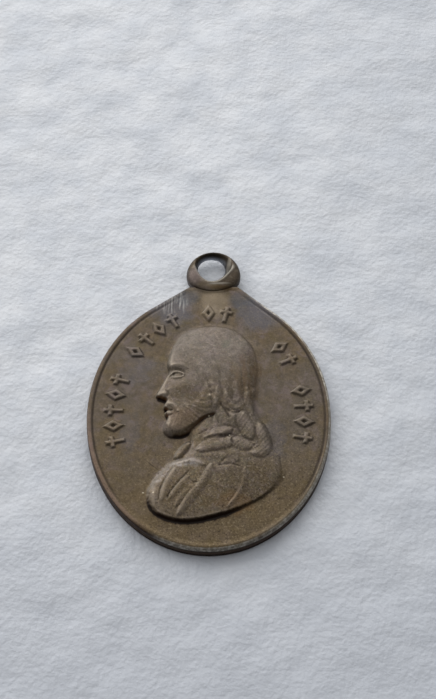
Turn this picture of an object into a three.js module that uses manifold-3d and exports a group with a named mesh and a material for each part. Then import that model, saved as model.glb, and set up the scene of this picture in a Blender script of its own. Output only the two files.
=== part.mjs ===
// Oval devotional medal in cast bronze, lying on its back. The disc, its raised rim, the bust in
// relief, the border of small ornaments and the drilled hanging loop are all one piece of metal.
// Millimetres, +Z up out of the front face, +Y towards the loop.
import * as THREE from 'three';
import { mergeVertices } from 'three/addons/utils/BufferGeometryUtils.js';
import Module from 'manifold-3d';

// Disc
const DISC_WIDTH = 22;
const DISC_HEIGHT = 27;
const DISC_THICKNESS = 1.35;
const EDGE_ROUNDING = 0.16;
const RIM_WIDTH = 0.42;
const RIM_SLOPE = 0.14;
const FIELD_DEPTH = 0.07;

// Shoulders that lead from the oval to the loop
const NECK_WIDTH = 4.6;
const NECK_REACH = 0.8;

// Loop: a flattened ball, egg shaped from above, drilled from the front and countersunk on both sides
const LOOP_WIDTH = 5.2;
const LOOP_ABOVE = 2.8;
const LOOP_BELOW = 2.2;
const LOOP_THICKNESS = 1.75;
const LOOP_FULLNESS = 2.7;
const LOOP_OFFSET = 0.38;
const LOOP_LIFT = 2.25;
const HOLE_WIDTH = 2.66;
const HOLE_MOUTH = 3.76;
const HOLE_OFFSET = 0.85;
const HOLE_SHIFT = -0.2;
const HOLE_LEVEL = 0.57;

// Bust
const BUST_HEIGHT = 20.7;
const BUST_MARGIN = 2.65;
const BUST_RELIEF = 0.95;

// Border ornaments: crosses and lozenges in groups
const BORDER_INSET = 2.4;
const BORDER_PITCH = 1.65;
const MOTIF_HEIGHT = 1.75;
const MOTIF_WIDTH = 1.15;
const MOTIF_STROKE = 0.38;
const MOTIF_RELIEF = 0.15;

// Mesh fineness
const OUTLINE_STEPS = 84;
const LOOP_STEPS = 40;
const LOOP_RINGS = 8;
const RELIEF_STEP = 0.34;

const asRow = (columns, row) => Object.fromEntries(columns.map((name, i) => [name, row[i]]));
const asRows = (columns, rows) => rows.map((row) => asRow(columns, row));

// Closed outlines of the bust in hundredths of its height: x from its middle line, y from its foot.
const HEAD = asRows(['x', 'y'], [
  [2.0, 100.0], [-6.5, 98.6], [-13.2, 94.6], [-16.6, 89.0], [-18.4, 82.5], [-18.9, 77.5],
  [-18.0, 73.6], [-19.6, 69.6], [-21.6, 65.4], [-23.3, 61.9], [-23.0, 60.2], [-20.6, 59.2],
  [-18.9, 58.2], [-19.9, 55.9], [-19.7, 54.3], [-18.5, 53.4], [-19.3, 52.1], [-18.8, 50.5],
  [-18.3, 49.2], [-19.9, 46.5], [-20.0, 43.0], [-17.6, 40.4], [-13.6, 40.0], [-9.6, 41.4],
  [-5.6, 44.6], [-2.0, 49.0], [4.0, 51.0], [12.0, 52.0], [18.0, 55.0], [21.0, 63.0],
  [22.6, 73.0], [21.6, 84.0], [16.8, 93.0], [10.0, 98.4],
]);
const CHEST = asRows(['x', 'y'], [
  [-11.0, 31.5], [-15.5, 29.0], [-20.0, 24.6], [-24.0, 19.0], [-26.8, 13.6], [-26.2, 8.4], [-22.6, 3.8],
  [-16.0, 1.0], [-8.5, 0.0], [1.0, 1.8], [10.5, 5.0], [19.5, 9.4], [27.0, 15.0], [32.6, 21.6],
  [32.0, 28.0], [30.0, 34.0], [26.4, 40.0], [18.0, 44.0], [6.0, 44.0], [-3.0, 40.0], [-8.0, 35.0],
]);
const NECK = asRows(['x', 'y'], [
  [-8.8, 44.0], [-8.6, 38.5], [-9.6, 34.0], [-12.2, 30.0], [-6.0, 26.0], [6.0, 28.0], [12.0, 36.0],
  [10.0, 50.0], [0.0, 54.0], [-6.0, 48.0],
]);
const HAIR_FALL = asRows(['x', 'y'], [
  [1.5, 60.0], [2.0, 52.0], [0.0, 46.0], [-2.0, 41.0], [-3.0, 36.0], [4.0, 33.5], [12.0, 35.0],
  [19.0, 33.0], [25.0, 33.0], [27.6, 38.0], [26.4, 44.0], [23.0, 50.0], [20.8, 58.0], [21.0, 66.0],
  [12.0, 66.0], [5.0, 64.0],
]);
const HAIR_CAP = asRows(['x', 'y'], [
  [-15.0, 91.6], [-13.4, 87.6], [-10.4, 83.8], [-8.4, 79.4], [-5.6, 75.2], [-3.4, 70.0], [-0.8, 65.6],
  [0.6, 60.0], [1.0, 54.0], [4.0, 47.0], [26.0, 47.0], [40.0, 70.0], [30.0, 110.0], [-10.0, 108.0],
]);
const BEARD = asRows(['x', 'y'], [
  [-19.9, 50.6], [-16.4, 51.4], [-14.4, 50.6], [-13.2, 52.8], [-11.6, 55.0], [-8.2, 55.6], [-5.2, 57.2],
  [-2.8, 61.0], [-1.2, 66.0], [3.0, 64.0], [3.0, 50.0], [-3.0, 42.0], [-12.0, 36.0], [-22.0, 36.0],
  [-24.0, 44.0],
]);

// Strands and folds, raised or, with a negative rise, sunken. Their paths and widths are in hundredths
// of the bust's height, their rise is a share of the relief.
const STROKE = ['name', 'path', 'width', 'rise'];
const FACE_STROKES = asRows(STROKE, [
  ['brow', [[-18.2, 74.9], [-15.6, 76.3], [-12.4, 76], [-9.4, 74.2]], 1.7, 0.055],
  ['upper_lid', [[-17.2, 71.1], [-15.6, 72.4], [-13.2, 72.2], [-10.8, 70.6]], 1, 0.13],
  ['lid_fold', [[-16.6, 73.4], [-14.2, 73.9], [-11.6, 73], [-10, 71.4]], 0.8, -0.035],
  ['under_eye', [[-15.8, 68.2], [-13.6, 67.4], [-11.4, 67.8]], 0.9, -0.02],
  ['nose_side', [[-17, 70.2], [-17.8, 66.6], [-18.4, 63.6]], 1.8, -0.06],
  ['wing_crease', [[-18.9, 63], [-17.9, 61.6], [-18, 59.8]], 0.8, -0.085],
  ['smile_fold', [[-17.4, 61.2], [-15.6, 58.4], [-14.4, 55.2]], 1.1, -0.035],
  ['under_lip', [[-18.9, 50.4], [-17.4, 50.1], [-15.8, 50.6]], 0.8, -0.06],
  ['moustache', [[-19.9, 56.9], [-17.6, 56.4], [-15.2, 54.8], [-13.4, 51.8]], 1.5, 0.075],
]);
const HAIR_STRANDS = asRows(STROKE, [
  ['fringe', [[-13.6, 91], [-9.6, 84.6], [-5.6, 76], [-1.6, 67], [0.8, 58]], 2.6, 0.05],
  ['temple', [[-9, 94], [-4.6, 86], [-0.6, 76], [2, 66], [3, 55]], 3.2, 0.045],
  ['crown', [[-4, 97], [1.6, 89], [5.6, 78], [7.4, 67], [7, 56]], 3.4, 0.045],
  ['middle', [[3, 98], [8, 90], [11.4, 80], [12.6, 69], [11.6, 57]], 3.4, 0.045],
  ['back', [[9, 96], [13.6, 88], [16.6, 78], [17.2, 67], [16, 56]], 3.2, 0.04],
]);
const HAIR_LOCKS = asRows(STROKE, [
  ['front', [[0.6, 59], [3.4, 53.4], [6.4, 47.6], [8.8, 43.4]], 2.6, 0.07],
  ['ear_curl', [[3.6, 63.5], [3.9, 59.2], [5.6, 55.8], [7.7, 53.6]], 1.6, 0.06],
  ['back_curl', [[7.2, 60.6], [8.5, 56.3], [10.6, 53.6], [13.5, 54.1], [15, 56.3]], 1.4, 0.06],
  ['nape', [[11.6, 65.9], [12.6, 59.7], [14, 53.4], [14.5, 50]], 1.9, 0.05],
  ['nape_back', [[16.9, 64], [17.4, 57.2], [18.8, 51.4]], 1.7, 0.05],
  ['stem', [[10, 51], [10.8, 46.7], [11, 42.2], [10.7, 38.9]], 2.2, 0.07],
  ['lens_top', [[-0.4, 38.8], [2.7, 40.4], [5.7, 41], [8.9, 42.3]], 2.8, 0.15],
  ['lens_low', [[-3.4, 33.2], [0.4, 34.8], [4.6, 35.4], [7.8, 36.2], [9.9, 37.8]], 3.2, 0.16],
  ['round_high', [[14.8, 50.4], [15.4, 46.4], [16.8, 42.8], [17.4, 39.6]], 3.3, 0.15],
  ['round_low', [[11.8, 37.8], [14.2, 35.9], [17.2, 34.8]], 3.1, 0.13],
  ['tail', [[10.1, 32.8], [11.2, 30.9], [11.8, 28]], 1.8, 0.07],
  ['rope', [[22.4, 46.2], [23.2, 42.2], [24.3, 38.2], [24.2, 34.6], [22.2, 32.2], [19.6, 31.7]], 3, 0.15],
]);
const ROBE_FOLDS = asRows(STROKE, [
  ['collar', [[-15.8, 27.2], [-10.5, 27.8], [-5.8, 27.6], [-1.6, 25.6]], 2.2, 0.08],
  ['collar_fold', [[-7.2, 31.2], [-2.4, 30.7], [3.9, 30.2], [9.2, 30.7]], 2.2, 0.04],
  ['shoulder_front', [[-16.6, 27.4], [-20.3, 22.4], [-23.2, 17.6], [-25, 13.4]], 2.3, 0.07],
  ['fold_1', [[-14.4, 24.4], [-17.2, 18.6], [-19, 13.7], [-19.8, 9]], 2, 0.07],
  ['fold_2', [[-8.4, 20.4], [-13, 15.2], [-16.1, 10]], 2, 0.06],
  ['fold_3', [[-6.5, 16.1], [-9.4, 12.8], [-12.3, 9], [-13.9, 6.2]], 1.8, 0.055],
  ['fold_4', [[1, 26], [-3, 17.8], [-6, 13.7], [-8.9, 9.5], [-10.9, 6.2], [-12.9, 2.7]], 2.6, 0.12],
  ['front_end', [[-22.6, 15.2], [-23.4, 11], [-22.9, 6]], 1.8, 0.04],
  ['fold_5', [[15.3, 24.6], [15, 19.6], [14.2, 16.1], [12.2, 12.6], [9.8, 9], [8, 6.4]], 1.7, 0.07],
]);

// Soft mounds and hollows of the face, in the same shares; turn is in degrees.
const FACE_MOUNDS = asRows(['name', 'x', 'y', 'rx', 'ry', 'turn', 'rise'], [
  ['brow_bone', -16.4, 76, 3.4, 1.9, -4, 0.06],
  ['socket', -14.6, 72, 4.4, 2.7, -6, -0.15],
  ['inner_corner', -17.3, 71.8, 1.3, 2.2, 0, -0.09],
  ['eyeball', -14.2, 70.8, 2.3, 1.5, -3, 0.13],
  ['temple', -9, 78, 3.4, 4.8, 0, -0.035],
  ['forehead', -12.5, 86, 5, 5, 0, 0.03],
  ['cheekbone', -10.4, 65.6, 5.2, 3.4, -18, 0.075],
  ['cheek_hollow', -9.2, 58.6, 4.2, 4, -30, -0.055],
  ['nose_wing', -19.7, 61.1, 1.6, 1.5, 0, 0.1],
  ['nose_tip', -22, 61.7, 1.7, 1.5, 0, 0.05],
  ['upper_lip', -18.9, 54.7, 1.7, 0.9, 0, 0.03],
  ['lower_lip', -18.2, 52, 1.8, 0.9, 0, 0.065],
  ['muzzle', -16.6, 56.8, 3, 3, 0, 0.03],
  ['chin_tuft', -18.2, 45.4, 3, 4, 0, 0.05],
]);

// Groups of ornaments round the border: the angle of each group's middle and how many it holds.
const BORDER_GROUPS = asRows(['angle', 'count'], [
  [178, 5],
  [128, 4],
  [85, 2],
  [36, 2],
  [0, 4],
]);

const wasm = await Module();
wasm.setup();

const solidOf = (geometry) => {
  const bare = geometry.clone();
  bare.deleteAttribute('normal');
  bare.deleteAttribute('uv');
  const merged = mergeVertices(bare, 1e-4);
  return new wasm.Manifold(new wasm.Mesh({
    numProp: 3,
    vertProperties: new Float32Array(merged.attributes.position.array),
    triVerts: new Uint32Array(merged.index.array),
  }));
};

const geometryOf = (solid) => {
  const mesh = solid.getMesh();
  const geometry = new THREE.BufferGeometry();
  geometry.setAttribute('position', new THREE.BufferAttribute(mesh.vertProperties, mesh.numProp));
  geometry.setIndex(new THREE.BufferAttribute(mesh.triVerts, 1));
  geometry.computeVertexNormals();
  return geometry;
};

// Disc outline, counterclockwise: the oval below, straight shoulders above that touch it and end at
// the neck. Each point carries its outward normal, so that the rim can be set in evenly.
const halfWidth = DISC_WIDTH / 2;
const halfHeight = DISC_HEIGHT / 2;
const neckTop = halfHeight + NECK_REACH;

function shoulderAngle(side) {
  const u = (side * NECK_WIDTH / 2 + LOOP_OFFSET) / halfWidth;
  const v = neckTop / halfHeight;
  return Math.atan2(v, u) - side * Math.acos(1 / Math.hypot(u, v));
}

function discOutline() {
  const start = shoulderAngle(-1);
  const end = shoulderAngle(1) + 2 * Math.PI;
  const points = [];
  for (let i = 0; i <= OUTLINE_STEPS; i++) {
    const angle = start + (end - start) * i / OUTLINE_STEPS;
    const point = new THREE.Vector2(halfWidth * Math.cos(angle), halfHeight * Math.sin(angle));
    const normal = new THREE.Vector2(Math.cos(angle) / halfWidth, Math.sin(angle) / halfHeight).normalize();
    points.push({ point, normal });
  }
  for (const side of [1, -1]) {
    const slope = points[side > 0 ? OUTLINE_STEPS : 0].normal;
    const point = new THREE.Vector2(side * NECK_WIDTH / 2 + LOOP_OFFSET, neckTop);
    const miter = slope.clone().add(new THREE.Vector2(0, 1));
    points.push({ point, normal: miter.multiplyScalar(2 / miter.lengthSq()) });
  }
  return points;
}

// A closed body through rings of one outline: each level has an inset and a height.
function stackedBody(outline, levels) {
  const positions = [];
  const indices = [];
  for (const { inset, z } of levels) {
    for (const { point, normal } of outline) {
      positions.push(point.x - inset * normal.x, point.y - inset * normal.y, z);
    }
  }
  const count = outline.length;
  for (let ring = 0; ring + 1 < levels.length; ring++) {
    for (let i = 0; i < count; i++) {
      const j = (i + 1) % count;
      const low = ring * count;
      const high = low + count;
      indices.push(low + i, low + j, high + j, low + i, high + j, high + i);
    }
  }
  const last = (levels.length - 1) * count;
  const flat = outline.map(({ point }) => point);
  for (const [a, b, c] of THREE.ShapeUtils.triangulateShape(flat, [])) {
    indices.push(a, c, b, last + a, last + b, last + c);
  }
  const geometry = new THREE.BufferGeometry();
  geometry.setAttribute('position', new THREE.Float32BufferAttribute(positions, 3));
  geometry.setIndex(indices);
  return geometry;
}

const fieldLevel = DISC_THICKNESS - FIELD_DEPTH;
const rimInner = RIM_WIDTH + RIM_SLOPE;

const discLevels = asRows(['inset', 'z'], [
  [rimInner, FIELD_DEPTH],
  [RIM_WIDTH, 0],
  [EDGE_ROUNDING, 0],
  [0, EDGE_ROUNDING],
  [0, DISC_THICKNESS - EDGE_ROUNDING],
  [EDGE_ROUNDING, DISC_THICKNESS],
  [RIM_WIDTH, DISC_THICKNESS],
  [rimInner, fieldLevel],
]);

// Loop: a rounded profile turned about its axis and drawn out to the egg, then cut by the hole.
const loopCentre = new THREE.Vector2(LOOP_OFFSET, halfHeight + LOOP_LIFT);

function loopBall() {
  const profile = [];
  for (let i = 0; i <= 2 * LOOP_RINGS; i++) {
    const angle = -Math.PI / 2 + Math.PI * i / (2 * LOOP_RINGS);
    const out = Math.abs(Math.cos(angle)) ** (2 / LOOP_FULLNESS);
    const up = Math.sign(angle) * Math.abs(Math.sin(angle)) ** (2 / LOOP_FULLNESS);
    const end = i === 0 || i === 2 * LOOP_RINGS;
    profile.push(new THREE.Vector2(end ? 0 : out, LOOP_THICKNESS / 2 * (1 + up)));
  }
  const ball = new THREE.LatheGeometry(profile, LOOP_STEPS).rotateX(Math.PI / 2);
  const position = ball.attributes.position;
  for (let i = 0; i < position.count; i++) {
    const reach = position.getY(i) > 0 ? LOOP_ABOVE : LOOP_BELOW;
    position.setX(i, position.getX(i) * LOOP_WIDTH / 2);
    position.setY(i, position.getY(i) * reach);
  }
  return ball.translate(loopCentre.x, loopCentre.y, 0);
}

// The hole widens from its waist to both mouths; the waist lies towards the back and to one side.
function loopHole() {
  const waist = HOLE_WIDTH / 2;
  const mouth = HOLE_MOUTH / 2;
  const openShare = (z) => {
    const end = z > HOLE_LEVEL ? LOOP_THICKNESS : 0;
    return Math.abs((z - HOLE_LEVEL) / (end - HOLE_LEVEL)) ** 1.5;
  };
  const levels = [-0.4, -0.1, 0.15, 0.36, 0.57, 0.78, 1].map((share) => share * LOOP_THICKNESS / 2);
  const rings = [...levels, ...levels.slice().reverse().map((z) => LOOP_THICKNESS * 1.06 - z)];
  const profile = rings.map((z) => new THREE.Vector2(waist + (mouth - waist) * openShare(z), z));
  profile.unshift(new THREE.Vector2(0, rings[0]));
  profile.push(new THREE.Vector2(0, rings[rings.length - 1]));
  const hole = new THREE.LatheGeometry(profile, LOOP_STEPS).rotateX(Math.PI / 2);
  const position = hole.attributes.position;
  for (let i = 0; i < position.count; i++) {
    const shift = HOLE_SHIFT * (1 - Math.min(1, openShare(position.getZ(i))));
    position.setX(i, position.getX(i) + shift);
  }
  return hole.translate(loopCentre.x, loopCentre.y + HOLE_OFFSET, 0);
}

// Bust: a height above the field for each place of the plan, in shares of the relief. Heights run on
// past the outlines that cut them, so that the walls stand upright along the cut.
const WALL_REACH = 5;
const ramp = (from, to, v) => THREE.MathUtils.smoothstep(v, from, to);

function closedCurve(rows) {
  const points = rows.map(({ x, y }) => new THREE.Vector3(x, y, 0));
  const path = new THREE.CatmullRomCurve3(points, true, 'catmullrom', 0.5);
  return path.getPoints(rows.length * 5).slice(0, -1);
}

function openCurve(rows) {
  const points = rows.map(([x, y]) => new THREE.Vector3(x, y, 0));
  return new THREE.CatmullRomCurve3(points, false, 'catmullrom', 0.5).getPoints(rows.length * 3);
}

// Distance from a place to a line of points, and the share of the line where it is nearest.
function nearest(x, y, points) {
  let distance = Infinity;
  let share = 0;
  for (let i = 0; i + 1 < points.length; i++) {
    const a = points[i];
    const dx = points[i + 1].x - a.x;
    const dy = points[i + 1].y - a.y;
    const t = THREE.MathUtils.clamp(((x - a.x) * dx + (y - a.y) * dy) / (dx * dx + dy * dy), 0, 1);
    const d = Math.hypot(x - a.x - t * dx, y - a.y - t * dy);
    if (d < distance) {
      distance = d;
      share = (i + t) / (points.length - 1);
    }
  }
  return { distance, share };
}

// Distance to a closed outline, positive inside it.
function depthIn(x, y, points) {
  const { distance } = nearest(x, y, [...points, points[0]]);
  let inside = false;
  for (let i = 0; i < points.length; i++) {
    const a = points[i];
    const b = points[(i + 1) % points.length];
    if (a.y > y !== b.y > y && x < (b.x - a.x) * (y - a.y) / (b.y - a.y) + a.x) {
      inside = !inside;
    }
  }
  return inside ? distance : -distance;
}

// A strand's own height: blunt is its width at the ends as a share of the full one, and a low power
// makes it plump.
function strokeRise(x, y, stroke, blunt = 0.35, power = 1.5) {
  const { distance, share } = nearest(x, y, stroke.path);
  const width = stroke.width * (blunt + (1 - blunt) * Math.sqrt(4 * share * (1 - share)));
  const r = Math.min(1, distance / width);
  return stroke.rise * (1 - r * r) ** power;
}

function mound(x, y, { x: cx, y: cy, rx, ry, turn, rise }) {
  const angle = THREE.MathUtils.degToRad(turn);
  const u = ((x - cx) * Math.cos(angle) + (y - cy) * Math.sin(angle)) / rx;
  const v = ((y - cy) * Math.cos(angle) - (x - cx) * Math.sin(angle)) / ry;
  return rise * Math.exp(-(u * u + v * v));
}

function softMax(a, b, k) {
  const h = Math.max(0, k - Math.abs(a - b)) / k;
  return Math.max(a, b) + h * h * k / 4;
}

const outlines = {
  head: closedCurve(HEAD),
  chest: closedCurve(CHEST),
  neck: closedCurve(NECK),
  fall: closedCurve(HAIR_FALL),
  cap: closedCurve(HAIR_CAP),
  beard: closedCurve(BEARD),
};
const withPath = (stroke) => ({ ...stroke, path: openCurve(stroke.path) });
const faceStrokes = FACE_STROKES.map(withPath);
const hairStrands = HAIR_STRANDS.map(withPath);
const hairLocks = HAIR_LOCKS.map(withPath);
const robeFolds = ROBE_FOLDS.map(withPath);
const sum = (x, y, strokes) => strokes.reduce((total, stroke) => total + strokeRise(x, y, stroke), 0);
const swell = (depth, reach) => 1 - Math.exp(-Math.max(0, depth) / reach);

function chestHeight(x, y, depth) {
  const front = ramp(8, 22, y - 0.35 * x) * ramp(-4, 10, -x);
  const shoulder = ramp(20, 30, x) * ramp(12, 22, y);
  const sink = ramp(20, 34, x + 0.25 * (y - 22)) * ramp(14, 26, y);
  const edge = ramp(-WALL_REACH * (1 - 0.6 * front), 0.8 + 3.4 * (front + shoulder), depth);
  return (0.4 * edge + 0.28 * swell(depth, 7)) * (1 - 0.6 * sink);
}

function headHeight(x, y, depth, skull) {
  const back = ramp(6, 22, x);
  const crown = ramp(84, 98, y);
  const chin = ramp(-50, -43, -y);
  const ball = Math.sqrt(Math.max(0, 1 - ((x + 1) / 25) ** 2 - ((y - 70) / 34) ** 2));
  const slope = 1 + 3 * crown + 2.2 * chin;
  const edge = ramp(-WALL_REACH * (1 - 0.6 * Math.max(back, crown)), slope, depth);
  const crisp = 0.3 * edge + 0.3 * swell(depth, 5);
  const round = 0.46 * (1 - (1 - THREE.MathUtils.clamp(depth / 16, 0, 1)) ** 2);
  let head = crisp + (round - crisp) * back + 0.28 * ball * (1 - 0.5 * back);
  head *= 1 - 0.3 * ramp(19, 23, -x);
  head += FACE_MOUNDS.reduce((total, row) => total + mound(x, y, row), 0);
  head += sum(x, y, faceStrokes);
  head += 0.07 * ramp(-1.2, 1, depthIn(x, y, outlines.beard)) * ramp(0, 1, skull);
  head += 0.055 * ramp(-1.6, 3.2, depthIn(x, y, outlines.cap));
  head += sum(x, y, hairStrands) * ramp(0, 5, depth) * ramp(-92, -66, -y);
  return head * ramp(-WALL_REACH, -WALL_REACH + 1, depth);
}

function bustHeight(x, y) {
  const neck = depthIn(x, y, outlines.neck);
  const fall = depthIn(x, y, outlines.fall);
  const skull = depthIn(x, y, outlines.head);
  const throat = (0.34 * ramp(-WALL_REACH, 3.4, neck) + 0.24 * swell(neck, 6)) * ramp(26, 31, y);
  const hair = 0.38 * ramp(-0.3, 4.5, fall) + 0.24 * swell(fall, 6);
  let height = chestHeight(x, y, depthIn(x, y, outlines.chest));
  height = softMax(softMax(height, throat, 0.04), hair, 0.06) + sum(x, y, robeFolds);
  const longHair = x > -2 ? Math.max(skull, fall) : skull;
  height = softMax(height, headHeight(x, y, longHair, skull), 0.03 + 0.08 * ramp(0, 10, x));
  return height + Math.max(...hairLocks.map((lock) => strokeRise(x, y, lock, 0.45, 0.9)));
}

const bustUnit = BUST_HEIGHT / 100;
const bustFoot = BUST_MARGIN - halfHeight;
const bustBase = fieldLevel * 0.4;

// A block over the bust's whole rectangle, its top shaped by the heights on a square grid.
function reliefBlock() {
  const corner = new THREE.Vector2(-30, -3);
  const span = new THREE.Vector2(66, 106);
  const columns = Math.ceil(span.x * bustUnit / RELIEF_STEP);
  const rows = Math.ceil(span.y * bustUnit / RELIEF_STEP);
  const block = new THREE.BoxGeometry(span.x, span.y, 1, columns, rows, 1);
  const position = block.attributes.position;
  for (let i = 0; i < position.count; i++) {
    const x = corner.x + span.x / 2 + position.getX(i);
    const y = corner.y + span.y / 2 + position.getY(i);
    const top = fieldLevel + BUST_RELIEF * Math.max(0.02, bustHeight(x, y));
    position.setXYZ(i, x * bustUnit, bustFoot + y * bustUnit, position.getZ(i) > 0 ? top : bustBase);
  }
  return block;
}

// An upright body over one outline of the bust, taller than the relief.
function outlineBody(points) {
  const plan = points.map(({ x, y }) => new THREE.Vector2(x * bustUnit, bustFoot + y * bustUnit));
  const shape = new THREE.Shape(plan);
  const depth = DISC_THICKNESS + 2 * BUST_RELIEF;
  return new THREE.ExtrudeGeometry(shape, { depth, bevelEnabled: false });
}

// Ornaments: bevelled crosses and open lozenges, sunk into the field by as much as they stand out.
function crossShape() {
  const [w, h, s] = [MOTIF_WIDTH / 2, MOTIF_HEIGHT / 2, MOTIF_STROKE / 2];
  const arm = h / 3;
  const corners = [
    [-s, -h], [s, -h], [s, arm - s], [w, arm - s], [w, arm + s], [s, arm + s],
    [s, h], [-s, h], [-s, arm + s], [-w, arm + s], [-w, arm - s], [-s, arm - s],
  ];
  return new THREE.Shape(corners.map(([x, y]) => new THREE.Vector2(x, y)));
}

function lozengeShape() {
  const diamond = (w, h) => [[0, -h], [w, 0], [0, h], [-w, 0]].map(([x, y]) => new THREE.Vector2(x, y));
  const [w, h] = [MOTIF_WIDTH / 2, MOTIF_HEIGHT / 2];
  const side = MOTIF_STROKE * Math.hypot(w, h) / (w * h);
  const shape = new THREE.Shape(diamond(w, h));
  shape.holes.push(new THREE.Path(diamond(w * (1 - side), h * (1 - side)).reverse()));
  return shape;
}

function ornament(shape, x, y, turn) {
  const bevel = MOTIF_RELIEF / 2;
  return new THREE.ExtrudeGeometry(shape, {
    depth: 2 * MOTIF_RELIEF - 2 * bevel,
    bevelThickness: bevel,
    bevelSize: bevel,
    bevelOffset: -bevel,
    bevelSegments: 1,
  }).translate(0, 0, bevel - MOTIF_RELIEF).rotateZ(turn).translate(x, y, fieldLevel);
}

function ornaments() {
  const [a, b] = [halfWidth - BORDER_INSET, halfHeight - BORDER_INSET];
  const placed = [];
  for (const { angle, count } of BORDER_GROUPS) {
    const middle = THREE.MathUtils.degToRad(angle);
    const pitch = BORDER_PITCH / Math.hypot(a * Math.sin(middle), b * Math.cos(middle));
    for (let i = 0; i < count; i++) {
      const t = middle + (i - (count - 1) / 2) * pitch;
      const turn = Math.atan2(Math.sin(t) / b, Math.cos(t) / a) - Math.PI / 2;
      const shape = i % 2 === 0 ? crossShape() : lozengeShape();
      placed.push(ornament(shape, a * Math.cos(t), b * Math.sin(t), turn));
    }
  }
  return placed;
}

// The whole medal
const outline = discOutline();
const disc = solidOf(stackedBody(outline, discLevels));
const loop = solidOf(loopBall()).subtract(solidOf(loopHole()));
const parts = [outlines.head, outlines.chest, outlines.neck, outlines.fall];
const columns = parts.map((points) => solidOf(outlineBody(points)));
const cutter = columns.reduce((joined, solid) => joined.add(solid));
const bust = solidOf(reliefBlock()).intersect(cutter);
let body = disc.add(loop).add(bust);
for (const geometry of ornaments()) {
  body = body.add(solidOf(geometry));
}

const bronze = new THREE.MeshStandardMaterial({ color: 0x6e6252, roughness: 0.5, metalness: 0.9 });
const medal = new THREE.Mesh(geometryOf(body), bronze);
medal.name = 'medal';
medal.position.y = -(LOOP_LIFT + LOOP_ABOVE) / 2;

const group = new THREE.Group();
group.add(medal);
export default group;
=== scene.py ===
# Looks of an oval cast medal lying on a pale table. Places on the medal are in millimetres from the
# middle of its oval, with +Y towards the loop, until a mesh is finished and goes to metres.
import math

import bpy
import numpy as np
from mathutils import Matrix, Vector


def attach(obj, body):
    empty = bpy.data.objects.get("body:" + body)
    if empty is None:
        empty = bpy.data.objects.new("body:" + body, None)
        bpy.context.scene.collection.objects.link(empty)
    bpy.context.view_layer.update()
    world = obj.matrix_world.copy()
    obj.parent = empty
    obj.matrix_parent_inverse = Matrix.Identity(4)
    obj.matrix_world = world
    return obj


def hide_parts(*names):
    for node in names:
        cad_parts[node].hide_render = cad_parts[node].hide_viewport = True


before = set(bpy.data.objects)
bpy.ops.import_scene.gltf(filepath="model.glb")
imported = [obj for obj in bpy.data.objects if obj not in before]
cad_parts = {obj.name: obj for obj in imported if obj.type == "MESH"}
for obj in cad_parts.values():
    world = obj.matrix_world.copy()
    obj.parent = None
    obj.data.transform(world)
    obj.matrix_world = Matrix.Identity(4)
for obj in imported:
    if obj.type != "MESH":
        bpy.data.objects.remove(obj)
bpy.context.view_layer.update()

# Disc
MM = 0.001
HALF_WIDTH = 11.0
HALF_HEIGHT = 13.5
THICKNESS = 1.35
EDGE_ROUNDING = 0.16
EDGE_WEAR = 0.2
RIM_WIDTH = 0.42
GROOVE_OFFSET = 0.14
FIELD_DEPTH = 0.07
FIELD = THICKNESS - FIELD_DEPTH
NECK_HALF = 2.3
NECK_REACH = 0.8

# Loop: a drilled, flattened ball
LOOP_OFFSET = 0.38
LOOP_LIFT = 2.25
LOOP_RADIUS = 2.6
LOOP_ABOVE = 2.8
LOOP_BELOW = 2.2
LOOP_THICKNESS = 1.75
LOOP_FULLNESS = 2.7
LOOP_LEAST = 0.14
LOOP_FOOT = 14.2
HOLE_OFFSET = 0.85
HOLE_WAIST = 1.33
HOLE_MOUTH = 1.88
HOLE_SHIFT = -0.2
WAIST_LEVEL = -0.35
CENTRE_SHIFT = (LOOP_LIFT + LOOP_ABOVE) / 2

# Bust: its unit is a hundredth of its height
BUST_UNIT = 0.207
BUST_FOOT = -10.85
BUST_RELIEF = 0.95
HEAD_SPILL = 0.25
LOCK_BLUNT = 0.62
LOCK_POWER = 0.75
FULL_LOCK = 0.1

# Fineness: steps of the heights, cells across the front, and the share of faces that stays
PITCH = 0.04
FRONT_CELLS = 440
KEPT_FACES = 0.42


# Shapes in the plane
def ramp(a, b, v):
    """A smooth step from 0 at a to 1 at b."""
    t = np.clip((v - a) / (b - a), 0, 1)
    return t * t * (3 - 2 * t)


def spline(points, steps=6, closed=True):
    """A smooth line through the points."""
    p = np.array(points, float)
    if not closed:
        p = np.vstack([2 * p[0] - p[1], p, 2 * p[-1] - p[-2]])
    n = len(p)
    spans = range(n) if closed else range(1, n - 2)
    out = []
    for i in spans:
        a, b, c, d = p[(i - 1) % n], p[i], p[(i + 1) % n], p[(i + 2) % n]
        for t in np.arange(steps) / steps:
            out.append(0.5 * (2 * b + (c - a) * t + (2 * a - 5 * b + 4 * c - d) * t ** 2
                              + (3 * b - a - 3 * c + d) * t ** 3))
    if not closed:
        out.append(p[-2])
    return np.array(out)


def nearest(x, y, line):
    """Distance to a line of points, the share of it passed at the nearest place, and the side."""
    best = np.full(x.shape, 1e9)
    share = np.zeros(x.shape)
    side = np.zeros(x.shape)
    step = np.diff(line, axis=0)
    length = np.maximum(np.hypot(step[:, 0], step[:, 1]), 1e-9)
    start = np.concatenate([[0], np.cumsum(length)])
    for i, (dx, dy) in enumerate(step):
        px, py = x - line[i, 0], y - line[i, 1]
        t = np.clip((px * dx + py * dy) / length[i] ** 2, 0, 1)
        d = (px - t * dx) ** 2 + (py - t * dy) ** 2
        near = d < best
        best = np.where(near, d, best)
        share = np.where(near, (start[i] + t * length[i]) / start[-1], share)
        side = np.where(near, np.sign(dx * py - dy * px), side)
    return np.sqrt(best), share, side


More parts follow.
